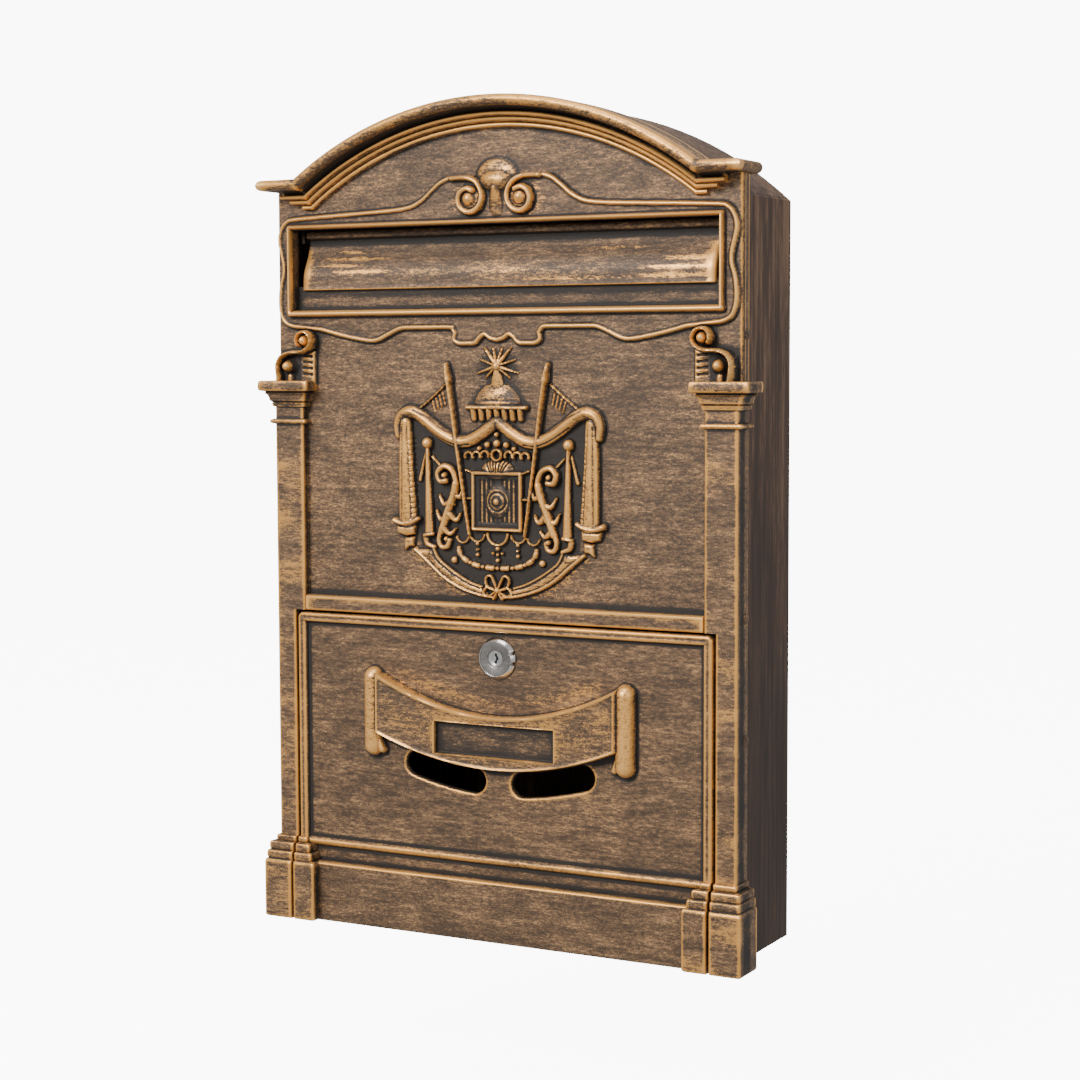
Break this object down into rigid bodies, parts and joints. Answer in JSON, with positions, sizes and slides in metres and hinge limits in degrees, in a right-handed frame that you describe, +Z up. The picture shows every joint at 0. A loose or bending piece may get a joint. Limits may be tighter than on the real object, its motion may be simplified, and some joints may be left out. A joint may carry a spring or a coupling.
{
  "type": "wall letterbox",
  "caption": "Wall letterbox with an arched cast front, a letter flap that lifts, a drop-down door with a cam lock and a sheet-steel housing with an arched roof.",
  "frame": {"origin": "middle of the four wall holes, on the wall face of the back panel", "axes": "+X to the right as seen from the front, +Y into the wall, +Z up"},
  "size_m": [0.2692, 0.0717, 0.41],
  "materials": {
    "bronze_casting": "die casting painted dark brown, brushed and rubbed to gold on raised edges",
    "bronze_sheet": "sheet painted dark brown and brushed with gold streaks",
    "housing_paint": "dark brown paint with faint upright brush streaks",
    "zinc_steel": "zinc plated, dull",
    "lock_chrome": "bright chrome plate",
    "lock_brass": "plain brass"
  },
  "bodies": {
    "box": {"back_panel": "housing_paint", "left_side": "housing_paint", "right_side": "housing_paint", "roof_sheet": "housing_paint", "floor_panel": "housing_paint", "back_rivets": "zinc_steel", "front_casting": "bronze_casting", "housing_rivets": "bronze_casting", "flap_rod": "zinc_steel", "rod_clips": "zinc_steel", "clip_screws": "zinc_steel", "rod_caps": "zinc_steel", "hinge_pins": "zinc_steel"},
    "flap": {"slot_flap": "bronze_sheet"},
    "door": {"door_casting": "bronze_casting", "lock_housing": "lock_chrome", "lock_washer": "zinc_steel", "lock_nut": "lock_brass"},
    "lock_rotor": {"lock_plug": "lock_chrome", "lock_wafers": "lock_brass", "lock_cam": "zinc_steel", "cam_washer": "zinc_steel", "cam_screw": "zinc_steel"}
  },
  "joints": [
    {"name": "flap_lift", "type": "hinge", "parent": "box", "child": "flap", "pos_m": [0, -0.05, 0.1569], "axis": [-1, 0, 0], "range_deg": [0, 75]},
    {"name": "door_drop", "type": "hinge", "parent": "box", "child": "door", "pos_m": [0, -0.061, -0.185], "axis": [1, 0, 0], "range_deg": [0, 95]},
    {"name": "lock_turn", "type": "hinge", "parent": "door", "child": "lock_rotor", "pos_m": [0, -0.06, -0.05], "axis": [0, -1, 0], "range_deg": [0, 90]}
  ]
}
